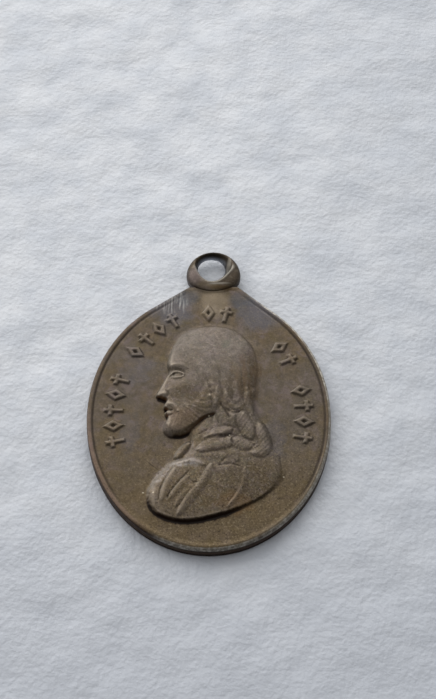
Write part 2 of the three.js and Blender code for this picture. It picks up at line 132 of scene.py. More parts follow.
def depth_in(x, y, outline):
    """Distance to a closed outline, positive inside it."""
    loop = np.vstack([outline, outline[:1]])
    inside = np.zeros(x.shape, bool)
    for (ax, ay), (bx, by) in zip(loop[:-1], loop[1:]):
        if ay != by:
            inside ^= ((ay > y) != (by > y)) & (x < (bx - ax) * (y - ay) / (by - ay) + ax)
    distance = nearest(x, y, loop)[0]
    return np.where(inside, distance, -distance)


def smax(a, b, k):
    """The higher of two heights, rounded over k where they meet."""
    h = np.maximum(k - np.abs(a - b), 0) / k
    return np.maximum(a, b) + h * h * k / 4


def mound(x, y, cx, cy, rx, ry, turn):
    """A soft round hill, 1 at its middle."""
    c, s = math.cos(math.radians(turn)), math.sin(math.radians(turn))
    u = ((x - cx) * c + (y - cy) * s) / rx
    v = ((y - cy) * c - (x - cx) * s) / ry
    return np.exp(-(u * u + v * v))


def stroke(x, y, points, width, lean=0.0, blunt=0.35, power=1.5):
    """A strand through the points, 1 along its ridge and 0 at its edge. Lean steepens one side."""
    line = spline(points, 5, closed=False)
    low, high = line.min(0) - 2 * width, line.max(0) + 2 * width
    near = (x > low[0]) & (x < high[0]) & (y > low[1]) & (y < high[1])
    out = np.zeros(x.shape)
    if near.any():
        d, share, side = nearest(x[near], y[near], line)
        w = width * (blunt + (1 - blunt) * np.sqrt(np.clip(4 * share * (1 - share), 0, 1)))
        r = np.clip(d / (w * (1 + lean * side)), 0, 1)
        out[near] = (1 - r * r) ** power
    return out


def blur(field, sigma_mm):
    """Gaussian blur of a height field through its Fourier transform."""
    ny, nx = field.shape
    fy = np.fft.fftfreq(ny)[:, None]
    fx = np.fft.rfftfreq(nx)[None, :]
    gain = np.exp(-2 * (math.pi * sigma_mm / PITCH) ** 2 * (fx ** 2 + fy ** 2))
    return np.fft.irfft2(np.fft.rfft2(field) * gain, s=field.shape)


def noise(shape, sigma_mm, seed):
    """Smooth noise of unit spread."""
    field = blur(np.random.default_rng(seed).standard_normal(shape), sigma_mm)
    return (field - field.mean()) / field.std()


# Outlines of the bust in hundredths of its height: x from its middle line, y from its foot
HEAD = [
    (2.0, 100.0), (-6.5, 98.6), (-13.2, 94.6), (-16.6, 89.0), (-18.4, 82.5), (-18.9, 77.5),
    (-18.0, 73.6), (-19.6, 69.6), (-21.6, 65.4), (-23.3, 61.9), (-23.0, 60.2), (-20.6, 59.2),
    (-18.9, 58.2), (-19.9, 55.9), (-19.7, 54.3), (-18.5, 53.4), (-19.3, 52.1), (-18.8, 50.5),
    (-18.3, 49.2), (-19.9, 46.5), (-20.0, 43.0), (-17.6, 40.4), (-13.6, 40.0), (-9.6, 41.4),
    (-5.6, 44.6), (-2.0, 49.0), (4.0, 51.0), (12.0, 52.0), (18.0, 55.0), (21.0, 63.0),
    (22.6, 73.0), (21.6, 84.0), (16.8, 93.0), (10.0, 98.4),
]
CHEST = [
    (-11.0, 31.5), (-15.5, 29.0), (-20.0, 24.6), (-24.0, 19.0), (-26.8, 13.6), (-26.2, 8.4),
    (-22.6, 3.8), (-16.0, 1.0), (-8.5, 0.0), (1.0, 1.8), (10.5, 5.0), (19.5, 9.4), (27.0, 15.0),
    (32.6, 21.6), (32.0, 28.0), (30.0, 34.0), (26.4, 40.0), (18.0, 44.0), (6.0, 44.0),
    (-3.0, 40.0), (-8.0, 35.0),
]
NECK = [
    (-8.8, 44.0), (-8.6, 38.5), (-9.6, 34.0), (-12.2, 30.0), (-6.0, 26.0), (6.0, 28.0),
    (12.0, 36.0), (10.0, 50.0), (0.0, 54.0), (-6.0, 48.0),
]
HAIR_FALL = [
    (1.5, 60.0), (2.0, 52.0), (0.0, 46.0), (-2.0, 41.0), (-3.0, 36.0), (4.0, 33.5), (12.0, 35.0),
    (19.0, 33.0), (25.0, 33.0), (27.6, 38.0), (26.4, 44.0), (23.0, 50.0), (20.8, 58.0),
    (21.0, 66.0), (12.0, 66.0), (5.0, 64.0),
]
HAIR_CAP = [
    (-15.0, 91.6), (-13.4, 87.6), (-10.4, 83.8), (-8.4, 79.4), (-5.6, 75.2), (-3.4, 70.0),
    (-0.8, 65.6), (0.6, 60.0), (1.0, 54.0), (4.0, 47.0), (26.0, 47.0), (40.0, 70.0),
    (30.0, 110.0), (-10.0, 108.0),
]
BEARD = [
    (-19.9, 50.6), (-16.4, 51.4), (-14.4, 50.6), (-13.2, 52.8), (-11.6, 55.0), (-8.2, 55.6),
    (-5.2, 57.2), (-2.8, 61.0), (-1.2, 66.0), (3.0, 64.0), (3.0, 50.0), (-3.0, 42.0),
    (-12.0, 36.0), (-22.0, 36.0), (-24.0, 44.0),
]

# Strokes: points, width, rise as a share of the relief, lean. Mounds: middle, radii, turn, rise
FACE_STROKES = {
    "brow": ([(-18.2, 74.9), (-15.6, 76.3), (-12.4, 76.0), (-9.4, 74.2)], 1.7, 0.055, -0.3),
    "upper_lid": ([(-17.2, 71.1), (-15.6, 72.4), (-13.2, 72.2), (-10.8, 70.6)], 0.95, 0.130, -0.2),
    "eye_line": ([(-16.6, 70.5), (-15.2, 71.5), (-13.2, 71.3), (-11.4, 70.2)], 0.55, -0.070, 0),
    "lid_fold": ([(-16.6, 73.4), (-14.2, 73.9), (-11.6, 73.0), (-10.0, 71.4)], 0.8, -0.035, 0),
    "lower_lid": ([(-16.7, 69.7), (-14.6, 69.1), (-12.2, 69.3), (-10.9, 70.2)], 0.75, 0.085, 0),
    "under_eye": ([(-15.8, 68.2), (-13.6, 67.4), (-11.4, 67.8)], 0.9, -0.02, 0),
    "nose_side": ([(-17.0, 70.2), (-17.8, 66.6), (-18.4, 63.6)], 1.8, -0.060, 0),
    "wing_crease": ([(-18.9, 63.0), (-17.9, 61.6), (-18.0, 59.8)], 0.8, -0.085, 0),
    "smile_fold": ([(-17.4, 61.2), (-15.6, 58.4), (-14.4, 55.2)], 1.1, -0.035, 0),
    "lip_line": ([(-19.4, 53.5), (-17.6, 53.2), (-15.8, 52.8)], 0.6, -0.110, 0),
    "under_lip": ([(-18.9, 50.4), (-17.4, 50.1), (-15.8, 50.6)], 0.8, -0.060, 0),
    "moustache": ([(-19.9, 56.9), (-17.6, 56.4), (-15.2, 54.8), (-13.4, 51.8)], 1.5, 0.075, 0),
}
FACE_MOUNDS = {
    "brow_bone": (-16.4, 76.0, 3.4, 1.9, -4, 0.060),
    "socket": (-14.6, 72.0, 4.4, 2.7, -6, -0.150),
    "inner_corner": (-17.3, 71.8, 1.3, 2.2, 0, -0.090),
    "eyeball": (-14.2, 70.8, 2.3, 1.5, -3, 0.130),
    "pupil": (-15.3, 70.8, 0.6, 0.8, 0, -0.090),
    "temple": (-9.0, 78.0, 3.4, 4.8, 0, -0.035),
    "forehead": (-12.5, 86.0, 5.0, 5.0, 0, 0.030),
    "cheekbone": (-10.4, 65.6, 5.2, 3.4, -18, 0.075),
    "cheek_hollow": (-9.2, 58.6, 4.2, 4.0, -30, -0.055),
    "nose_wing": (-19.7, 61.1, 1.6, 1.5, 0, 0.100),
    "nose_tip": (-22.0, 61.7, 1.7, 1.5, 0, 0.050),
    "nostril": (-21.1, 60.0, 0.9, 0.5, 20, -0.110),
    "upper_lip": (-18.9, 54.7, 1.7, 0.9, 0, 0.030),
    "lower_lip": (-18.2, 52.0, 1.8, 0.9, 0, 0.065),
    "muzzle": (-16.6, 56.8, 3.0, 3.0, 0, 0.030),
    "chin_tuft": (-18.2, 45.4, 3.0, 4.0, 0, 0.050),
}
HAIR_STRANDS = {
    "fringe": ([(-13.6, 91.0), (-9.6, 84.6), (-5.6, 76.0), (-1.6, 67.0), (0.8, 58.0)], 2.6, 0.075, 0.4),
    "temple": ([(-9.0, 94.0), (-4.6, 86.0), (-0.6, 76.0), (2.0, 66.0), (3.0, 55.0)], 3.2, 0.062, 0.4),
    "crown": ([(-4.0, 97.0), (1.6, 89.0), (5.6, 78.0), (7.4, 67.0), (7.0, 56.0)], 3.4, 0.060, 0.4),
    "middle": ([(3.0, 98.0), (8.0, 90.0), (11.4, 80.0), (12.6, 69.0), (11.6, 57.0)], 3.4, 0.060, 0.4),
    "back": ([(9.0, 96.0), (13.6, 88.0), (16.6, 78.0), (17.2, 67.0), (16.0, 56.0)], 3.2, 0.052, 0.4),
    "part_low": ([(-2.4, 70.6), (0.6, 63.0), (1.4, 55.0)], 0.8, -0.050, 0.0),
    "part_mid": ([(0.2, 82.0), (4.2, 73.0), (5.2, 63.0)], 0.8, -0.035, 0.0),
    "part_back": ([(10.4, 84.0), (14.2, 75.0), (14.6, 64.0)], 0.8, -0.035, 0.0),
}
HAIR_LOCKS = {
    "front": ([(0.6, 59.0), (3.4, 53.4), (6.4, 47.6), (8.8, 43.4)], 2.6, 0.070, 0.0),
    "front_part": ([(1.4, 55.0), (2.7, 50.8), (4.2, 46.4)], 0.8, -0.070, 0.0),
    "middle_part": ([(5.2, 55.8), (7.2, 52.0), (9.2, 48.6)], 0.7, -0.060, 0.0),
    "ear_curl": ([(3.6, 63.5), (3.9, 59.2), (5.6, 55.8), (7.7, 53.6)], 1.6, 0.060, 0.3),
    "back_curl": ([(7.2, 60.6), (8.5, 56.3), (10.6, 53.6), (13.5, 54.1), (15.0, 56.3)], 1.4, 0.060, 0.3),
    "curl_part": ([(8.4, 52.2), (10.6, 51.0), (13.4, 52.0)], 0.7, -0.060, 0.0),
    "nape": ([(11.6, 65.9), (12.6, 59.7), (14.0, 53.4), (14.5, 50.0)], 1.9, 0.050, 0.0),
    "nape_back": ([(16.9, 64.0), (17.4, 57.2), (18.8, 51.4)], 1.7, 0.050, 0.0),
    "stem": ([(10.0, 51.0), (10.8, 46.7), (11.0, 42.2), (10.7, 38.9)], 2.2, 0.070, 0.0),
    "lens_top": ([(-0.4, 38.8), (2.7, 40.4), (5.7, 41.0), (8.9, 42.3)], 2.8, 0.150, 0.2),
    "lens_low": ([(-3.4, 33.2), (0.4, 34.8), (4.6, 35.4), (7.8, 36.2), (9.9, 37.8)], 3.2, 0.160, 0.2),
    "glint": ([(10.7, 37.1), (12.4, 38.8), (14.4, 41.0)], 0.9, 0.070, 0.0),
    "round_high": ([(14.8, 50.4), (15.4, 46.4), (16.8, 42.8), (17.4, 39.6)], 3.3, 0.150, 0.0),
    "round_low": ([(11.8, 37.8), (14.2, 35.9), (17.2, 34.8)], 3.1, 0.130, 0.0),
    "low_strand": ([(16.4, 37.6), (18.0, 36.7), (19.6, 36.2)], 0.7, 0.060, 0.0),
    "tail": ([(10.1, 32.8), (11.2, 30.9), (11.8, 28.0)], 1.8, 0.070, 0.0),
    "rope": ([(22.4, 46.2), (23.2, 42.2), (24.3, 38.2), (24.2, 34.6), (22.2, 32.2), (19.6, 31.7)],
             3.0, 0.150, 0.0),
    "rope_strand": ([(17.8, 31.4), (19.5, 33.7), (21.3, 35.8)], 0.8, 0.060, 0.0),
    "throat_part": ([(-4.2, 41.1), (-2.5, 42.1), (-0.8, 43.2)], 0.6, -0.060, 0.0),
    "throat_edge": ([(-8.7, 40.3), (-8.0, 38.4), (-7.0, 36.5)], 0.6, -0.050, 0.0),
}
THROAT_TUFT = ([(-8.5, 36.7), (-10.6, 34.1), (-13.3, 30.4)], 2.8, 0.33, 0.0)
ROBE_FOLDS = {
    "collar": ([(-15.8, 27.2), (-10.5, 27.8), (-5.8, 27.6), (-1.6, 25.6)], 2.2, 0.080, 0.2),
    "collar_fold": ([(-7.2, 31.2), (-2.4, 30.7), (3.9, 30.2), (9.2, 30.7)], 2.2, 0.040, 0.0),
    "collar_part": ([(4.4, 25.5), (9.4, 26.0), (13.2, 24.8)], 0.7, -0.060, 0.0),
    "collar_notch": ([(4.2, 25.2), (5.6, 27.2), (7.0, 28.6)], 0.7, -0.060, 0.0),
    "shoulder_front": ([(-16.6, 27.4), (-20.3, 22.4), (-23.2, 17.6), (-25.0, 13.4)], 2.3, 0.070, 0.0),
    "gap_1": ([(-15.1, 25.7), (-17.5, 21.3), (-19.1, 17.5), (-20.3, 13.7), (-21.0, 9.0)], 0.65, -0.070, 0.0),
    "fold_1": ([(-14.4, 24.4), (-17.2, 18.6), (-19.0, 13.7), (-19.8, 9.0)], 2.0, 0.070, 0.2),
    "gap_2": ([(-8.3, 22.8), (-11.2, 19.4), (-13.7, 16.1), (-16.1, 12.8), (-17.3, 10.0)], 0.65, -0.075, 0.0),
    "fold_2": ([(-8.4, 20.4), (-13.0, 15.2), (-16.1, 10.0)], 2.0, 0.060, 0.2),
    "fold_3": ([(-6.5, 16.1), (-9.4, 12.8), (-12.3, 9.0), (-13.9, 6.2)], 1.8, 0.055, 0.2),
    "gap_3": ([(-5.4, 16.2), (-8.0, 13.0), (-10.6, 9.2), (-12.6, 6.0)], 0.55, -0.050, 0.0),
    "tuck": ([(-7.0, 17.3), (-3.6, 17.5)], 0.5, -0.060, 0.0),
    "fold_4": ([(1.0, 26.0), (-3.0, 17.8), (-6.0, 13.7), (-8.9, 9.5), (-10.9, 6.2), (-12.9, 2.7)],
               2.6, 0.120, 0.3),
    "front_end": ([(-22.6, 15.2), (-23.4, 11.0), (-22.9, 6.0)], 1.8, 0.040, 0.0),
    "fold_5": ([(15.3, 24.6), (15.0, 19.6), (14.2, 16.1), (12.2, 12.6), (9.8, 9.0), (8.0, 6.4)],
               1.7, 0.070, 0.3),
    "gap_5": ([(12.2, 14.4), (10.6, 11.4), (8.8, 8.6)], 0.7, -0.050, 0.0),
    "crumple": ([(5.9, 18.7), (4.4, 17.5), (4.8, 15.9), (6.6, 14.1)], 0.7, 0.040, 0.0),
    "shoulder_back": ([(30.4, 32.0), (31.1, 27.0), (31.3, 22.4)], 0.6, -0.060, 0.0),
}

# Groups of border ornaments: the angle of their middle and their number
BORDER_GROUPS = [(178, 5), (128, 4), (85, 2), (36, 2), (0, 4)]
BORDER_INSET = 2.4
BORDER_PITCH = 1.65
MOTIF_HEIGHT = 1.75
MOTIF_WIDTH = 1.15
MOTIF_STROKE = 0.38
MOTIF_RELIEF = 0.15


def combed(x, y, spacing, seed):
    """Uneven combed strands that follow arcs about the face."""
    radius, turn = np.hypot(x + 13.0, y - 64.0), np.arctan2(y - 64.0, x + 13.0)
    rng = np.random.default_rng(seed)
    total = np.zeros(x.shape)
    for _ in range(5):
        k = 2 * math.pi / spacing * rng.uniform(0.6, 1.7)
        drift = rng.uniform(0.4, 1.6) * np.sin(turn * rng.uniform(1.5, 4.0) + rng.uniform(0, 6))
        total = total + np.sin(radius * k + 2.0 * drift + rng.uniform(0, 6))
    return total / 5


def tufted(x, y):
    """Short curling tufts that spread from the mouth."""
    radius, turn = np.hypot(x + 14.0, y - 56.0), np.arctan2(y - 56.0, x + 14.0)
    curl = np.sin(24 * turn + 0.9 * np.sin(0.8 * radius) + 0.25 * radius)
    part = np.sin(0.75 * radius + 3.0 * np.sin(5 * turn))
    return 0.6 * curl * (0.6 + 0.4 * part) + 0.4 * np.sin(41 * turn + 2.2 * np.sin(0.6 * radius + 1))


def pillow(inside, edge, step, swell, reach):
    """A raised form: a step at its edge and a swell that grows inwards."""
    return step * ramp(-0.3, edge, inside) + swell * (1 - np.exp(-np.clip(inside, 0, None) / reach))


def robe_height(x, y, chest):
    """The chest, with a steep edge in front and below and a soft one at the shoulders."""
    soft_front = 3.4 * ramp(8, 22, y - 0.35 * x) * ramp(4, -10, x)
    soft_back = 3.4 * ramp(20, 30, x) * ramp(12, 22, y)
    wall = 0.40 * (1 - 0.45 * ramp(2, 22, x) * ramp(28, 14, y))
    height = pillow(chest, 0.8 + soft_front + soft_back, wall, 0.28, 7.0)
    return height * (1 - 0.60 * ramp(20, 34, x + 0.25 * (y - 22)) * ramp(14, 26, y))


def head_height(x, y, skull, long_hair):
    """The head with its long hair, crisp at the face and rounded off at the back and the crown."""
    ball = np.sqrt(np.clip(1 - ((x + 1.0) / 25.0) ** 2 - ((y - 70.0) / 34.0) ** 2, 0, 1))
    back = np.maximum(ramp(6, 22, x), 0.9 * ramp(74, 94, y))
    slope = 1.0 + 1.4 * ramp(70, 82, y) + 2.4 * ramp(84, 98, y) + 2.2 * ramp(50, 43, y)
    crisp = pillow(long_hair, slope, 0.30, 0.30, 5.0)
    round_off = 0.46 * (1 - (1 - np.clip(long_hair / 16, 0, 1)) ** 2)
    soft_edge = np.maximum(ramp(70, 92, y), back)
    at_edge = ramp(1.5 + 5.0 * soft_edge, -0.3, long_hair)
    swell = 0.28 * ball * (1 - 0.5 * back) * (1 - soft_edge * at_edge)
    head = crisp + (round_off - crisp) * back + swell
    head = head * (1 - 0.3 * ramp(-19, -23, x))
    for *place, rise in FACE_MOUNDS.values():
        head = head + rise * mound(x, y, *place)
    for points, width, rise, lean in FACE_STROKES.values():
        head = head + rise * stroke(x, y, points, width, lean)

    beard = depth_in(x, y, spline(BEARD))
    head = head + 0.070 * ramp(-1.2, 1.0, beard) * ramp(0, 1.0, skull)
    head = head + 0.022 * tufted(x, y) * ramp(0.0, 1.5, beard) * ramp(0, 1.5, skull)
    cap = depth_in(x, y, spline(HAIR_CAP))
    head = head + 0.055 * ramp(-1.6, 3.2, cap)
    locks = 0.55 * combed(x, y, 5.5, 8) + 0.3 * combed(x, y, 3.4, 5)
    worn = 0.6 + 0.4 * ramp(96, 66, y - 0.2 * x)
    head = head + 0.026 * worn * locks * ramp(0.0, 3.0, cap) * ramp(0, 6, long_hair)
    for points, width, rise, lean in HAIR_STRANDS.values():
        strand = rise * stroke(x, y, points, width, lean, 0.3)
        head = head + strand * ramp(0, 5, long_hair) * ramp(92, 66, y)
    return head * ramp(-HEAD_SPILL, 0.6 + 1.4 * soft_edge, long_hair)


def add_curls(height, x, y):
    """Lays the curls on one by one. A full curl presses down those that were laid before it."""
    curls, partings = np.zeros(x.shape), np.zeros(x.shape)
    for points, width, rise, lean in HAIR_LOCKS.values():
        lock = rise * stroke(x, y, points, width, lean, LOCK_BLUNT, LOCK_POWER)
        if rise > FULL_LOCK:
            around = stroke(x, y, points, 1.35 * width, lean, LOCK_BLUNT, LOCK_POWER)
            curls = curls * (1 - 0.8 * ramp(0.0, 0.45, around))
        curls = np.maximum(curls, lock)
        partings = np.minimum(partings, lock)
    wisps = 0.016 * combed(x, y, 2.4, 11) * ramp(0.0, 0.05, curls)
    return height + curls + partings + wisps


def bust_height(x, y):
    """Height above the field for places in the bust's own hundredths, as a share of the relief."""
    chest = depth_in(x, y, spline(CHEST)) + 0.07 * noise(x.shape, 0.08, 12)
    neck = np.where(y > 26, depth_in(x, y, spline(NECK)), -9)
    fall = depth_in(x, y, spline(HAIR_FALL))
    skull = depth_in(x, y, spline(HEAD))
    reach = np.maximum(np.maximum(chest, neck), fall)
    long_hair = np.where(x > -2.0, np.maximum(skull, fall), skull)

    height = robe_height(x, y, chest)
    throat = pillow(neck, 3.4, 0.34, 0.24, 6.0)
    height = np.maximum(height, smax(height, throat * ramp(26, 31, y), 0.04) * ramp(-0.6, 0.4, neck))
    hair = pillow(fall, 4.5, 0.38, 0.24, 6.0) * (1 - 0.3 * ramp(18, 26, x))
    height = np.maximum(height, smax(height, hair, 0.06) * ramp(-0.6, 0.4, fall))
    height = height + (blur(height, 0.2) - height) * ramp(0.6, 3.0, reach)
    for points, width, rise, lean in ROBE_FOLDS.values():
        height = height + rise * stroke(x, y, points, width, lean) * ramp(0, 1.5, chest)

    head = head_height(x, y, skull, long_hair)
    joined = smax(height, head, 0.03 + 0.08 * ramp(0.0, 10.0, x))
    height = np.where(long_hair > -HEAD_SPILL, np.maximum(joined, height), height)
    height = add_curls(height, x, y)
    height = height * ramp(-0.9, 0.1, np.maximum(reach, skull))
    tuft, width, rise, lean = THROAT_TUFT
    return np.maximum(height, rise * stroke(x, y, tuft, width, lean, 0.7) ** 0.8)


def medal_outline(steps=720):
    """The disc's edge, counterclockwise from the left shoulder: oval, then shoulders and neck."""
    top = (HALF_HEIGHT + NECK_REACH) / HALF_HEIGHT

    def touch(side):
        u = (side * NECK_HALF + LOOP_OFFSET) / HALF_WIDTH
        return math.atan2(top, u) - side * math.acos(1 / math.hypot(u, top))

    t = np.linspace(touch(-1), touch(1) + 2 * math.pi, steps)
    oval = np.stack([HALF_WIDTH * np.cos(t), HALF_HEIGHT * np.sin(t)], 1)
    neck_top = HALF_HEIGHT + NECK_REACH
    right = np.array([LOOP_OFFSET + NECK_HALF, neck_top])
    left = np.array([LOOP_OFFSET - NECK_HALF, neck_top])
    s = np.linspace(0, 1, 40)[1:, None]
    return np.vstack([oval, oval[-1] + s * (right - oval[-1]), right + s * (left - right),
                      left + s[:-1] * (oval[0] - left)])


OUTLINE = medal_outline()


def motif_height(u, v, kind):
    """Height of one border ornament in its own plane, v towards the rim."""
    half = MOTIF_STROKE / 2
    if kind == 0:
        upright = np.maximum(np.abs(u) - half, np.abs(v) - MOTIF_HEIGHT / 2)
        arms = np.maximum(np.abs(v - MOTIF_HEIGHT / 6) - half, np.abs(u) - MOTIF_WIDTH / 2)
        gap = np.minimum(upright, arms)
    else:
        w, h = MOTIF_WIDTH / 2 - half, MOTIF_HEIGHT / 2 - half * 1.4
        gap = np.abs((np.abs(u) * h + np.abs(v) * w - w * h) / math.hypot(w, h)) - half
    return ramp(0.08, -0.10, gap)


def border_height(x, y):
    """Heights of the ornaments, set along an inner oval with their feet towards the middle."""
    a, b = HALF_WIDTH - BORDER_INSET, HALF_HEIGHT - BORDER_INSET
    height = np.zeros(x.shape)
    for angle, count in BORDER_GROUPS:
        middle = math.radians(angle)
        pitch = BORDER_PITCH / math.hypot(a * math.sin(middle), b * math.cos(middle))
        for i in range(count):
            t = middle + (i - (count - 1) / 2) * pitch
            turn = math.atan2(math.sin(t) / b, math.cos(t) / a) - math.pi / 2
            px, py = x - a * math.cos(t), y - b * math.sin(t)
            near = (np.abs(px) < 1.5) & (np.abs(py) < 1.5)
            u = px[near] * math.cos(turn) + py[near] * math.sin(turn)
            v = py[near] * math.cos(turn) - px[near] * math.sin(turn)
            height[near] = np.maximum(height[near], motif_height(u, v, i % 2))
    return height


# The front as one height field on a fine grid
xs = np.arange(-11.4, 11.4, PITCH)
ys = np.arange(-13.9, 14.7, PITCH)
GX, GY = np.meshgrid(xs, ys)
SHAPE = GX.shape


def front_field():
    """Heights of the front face, the inset from the disc's edge, and where the bust is."""
    inset = np.zeros(SHAPE)
    radial = np.hypot(GX / HALF_WIDTH, GY / HALF_HEIGHT)
    band = (radial > 0.86) | (GY > 9.5)
    inset[~band] = 9.0
    inset[band] = depth_in(GX[band], GY[band], OUTLINE)

    worn = 1 - 0.95 * mound(GX, GY, 0, 13.6, 6.5, 3.0, 0)
    worn = worn * (1 - 0.55 * mound(GX, GY, -8.2, -8.6, 2.5, 3.0, 0))
    low = ramp(-6.0, -11.0, GY)
    rim = ramp(RIM_WIDTH + 0.10 + 0.25 * low, RIM_WIDTH - 0.08, inset) * FIELD_DEPTH * worn
    deep = 0.03 + 0.02 * ramp(-2, 6, GX)
    groove = np.exp(-((inset - RIM_WIDTH - GROOVE_OFFSET) / 0.08) ** 2) * deep * worn * (1 - 0.8 * low)
    height = FIELD + rim - groove

    bx, by = xs / BUST_UNIT, (ys - BUST_FOOT) / BUST_UNIT
    near = np.ix_((by > -5) & (by < 105), (bx > -32) & (bx < 38))
    bust = np.zeros(SHAPE)
    bust[near] = bust_height(GX[near] / BUST_UNIT, (GY[near] - BUST_FOOT) / BUST_UNIT)
    height = height + BUST_RELIEF * bust
    border = border_height(GX, GY)
    height = height + MOTIF_RELIEF * border

    neck_swell = 0.10 * np.exp(-((GX - LOOP_OFFSET) / 1.5) ** 2) * ramp(10.0, 13.8, GY)
    low_ball = np.hypot((GX - LOOP_OFFSET) / LOOP_RADIUS, (GY - HALF_HEIGHT - LOOP_LIFT) / LOOP_BELOW)
    fillet = 0.17 * np.clip(1 - (low_ball - 0.99) * LOOP_BELOW / 0.6, 0, 1) ** 2
    fillet = fillet * ramp(2.2, 0.8, np.abs(GX - LOOP_OFFSET))
    height = height + np.maximum(neck_swell, fillet)
    waves = 0.012 * noise(SHAPE, 1.4, 3) + 0.005 * noise(SHAPE, 0.35, 4)
    height = blur(height, 0.035) + waves
    return height, inset, bust, border


HEIGHT, INSET, BUST, BORDER = front_field()


def sample(field, x, y):
    """Bilinear value of a grid at places on the medal."""
    u = np.clip((x - xs[0]) / PITCH, 0, SHAPE[1] - 1.001)
    v = np.clip((y - ys[0]) / PITCH, 0, SHAPE[0] - 1.001)
    i, j = u.astype(int), v.astype(int)
    fu, fv = u - i, v - j
    top = field[j, i] * (1 - fu) + field[j, i + 1] * fu
    low = field[j + 1, i] * (1 - fu) + field[j + 1, i + 1] * fu
    return top * (1 - fv) + low * fv


# Meshes
def new_mesh(name, vertices, faces):
    """An object of its own from places and lists of corners."""
    mesh = bpy.data.meshes.new(name)
    mesh.from_pydata(vertices.tolist(), [], faces)
    mesh.update()
    obj = bpy.data.objects.new(name, mesh)
    bpy.context.collection.objects.link(obj)
    return obj


def disc_mesh(n=FRONT_CELLS):
    """Front face on a square grid drawn out to the disc's outline, then the wall and the back."""
    g = np.linspace(-1, 1, n + 1)
    a, b = np.meshgrid(g, g)
    wide = np.abs(a) > np.abs(b)
    big = np.where(wide, a, b)
    small = np.where(wide, b, a)
    safe = np.where(big == 0, 1, big)
    angle = np.where(wide, math.pi / 4 * small / safe, math.pi / 2 - math.pi / 4 * small / safe)
    radius = np.where(big == 0, 0, big)
    ux, uy = radius * np.cos(angle), radius * np.sin(angle)
    r, theta = np.hypot(ux, uy), np.arctan2(uy, ux)
    out_angle = np.arctan2(OUTLINE[:, 1], OUTLINE[:, 0])
    order = np.argsort(out_angle)
    out_radius = np.hypot(OUTLINE[:, 0], OUTLINE[:, 1])[order]
    reach = np.interp(theta, out_angle[order], out_radius, period=2 * math.pi)
    x, y = r * reach * np.cos(theta), r * reach * np.sin(theta)
    z = sample(HEIGHT, x, y)
    rounding = EDGE_ROUNDING + EDGE_WEAR * ramp(3.0, 7.0, x * 0.6 - y * 0.8)
    lip = np.clip(1 - (1 - r) * reach / rounding, 0, 1)
    z = z - rounding * (1 - np.sqrt(1 - lip ** 2))
    vertices = [np.stack([x, y, z], -1).reshape(-1, 3)]
    index = np.arange((n + 1) ** 2).reshape(n + 1, n + 1)
    corners = [index[:-1, :-1], index[:-1, 1:], index[1:, 1:], index[1:, :-1]]
    quads = [np.stack(corners, -1).reshape(-1, 4)]

    edge = np.concatenate([index[0, :-1], index[:-1, -1], index[-1, :0:-1], index[:0:-1, 0]])
    ex, ey = x.reshape(-1)[edge], y.reshape(-1)[edge]
    wall = vertices[0][edge, 2] - EDGE_ROUNDING
    length = np.hypot(ex, ey)
    last = edge

    def add_ring(keep, level):
        """A ring at a share of the edge's distance from the middle, joined to the last one."""
        nonlocal last
        start = sum(len(part) for part in vertices)
        vertices.append(np.stack([ex * keep, ey * keep, np.broadcast_to(level, ex.shape)], 1))
        ring = np.arange(start, start + len(edge))
        quads.append(np.stack([last, ring, np.roll(ring, -1), np.roll(last, -1)], 1))
        last = ring

    for inset, share in ((0.05, 0.75), (0.04, 0.56), (-0.02, 0.46), (0.04, 0.36), (0.05, 0.18)):
        add_ring((length - inset) / length, EDGE_ROUNDING + wall * share)
    for turn in np.linspace(0, math.pi / 2, 5):
        inset, level = 1 - math.cos(turn), 1 - math.sin(turn)
        add_ring((length - EDGE_ROUNDING * inset) / length, EDGE_ROUNDING * level)
    for inset, share in ((0.0, 0.0), (0.07, 0.5), (GROOVE_OFFSET, 1.0), (0.48, 1.0)):
        add_ring((length - RIM_WIDTH - inset) / length, FIELD_DEPTH * share)
    for share in (0.85, 0.7, 0.5, 0.3, 0.12):
        add_ring(share, FIELD_DEPTH)
    centre = sum(len(part) for part in vertices)
    vertices.append(np.array([[0.0, 0.0, FIELD_DEPTH]]))
    fan = [[here, centre, after] for here, after in zip(last.tolist(), np.roll(last, -1).tolist())]
    return new_mesh("medal_body", np.vstack(vertices), np.vstack(quads).tolist() + fan)


def mouth_radius(phi):
    """The hole's mouth, drawn to three soft corners."""
    return HOLE_MOUTH * (1 + 0.09 * np.cos(3 * (phi + math.pi / 2 + 0.12)))


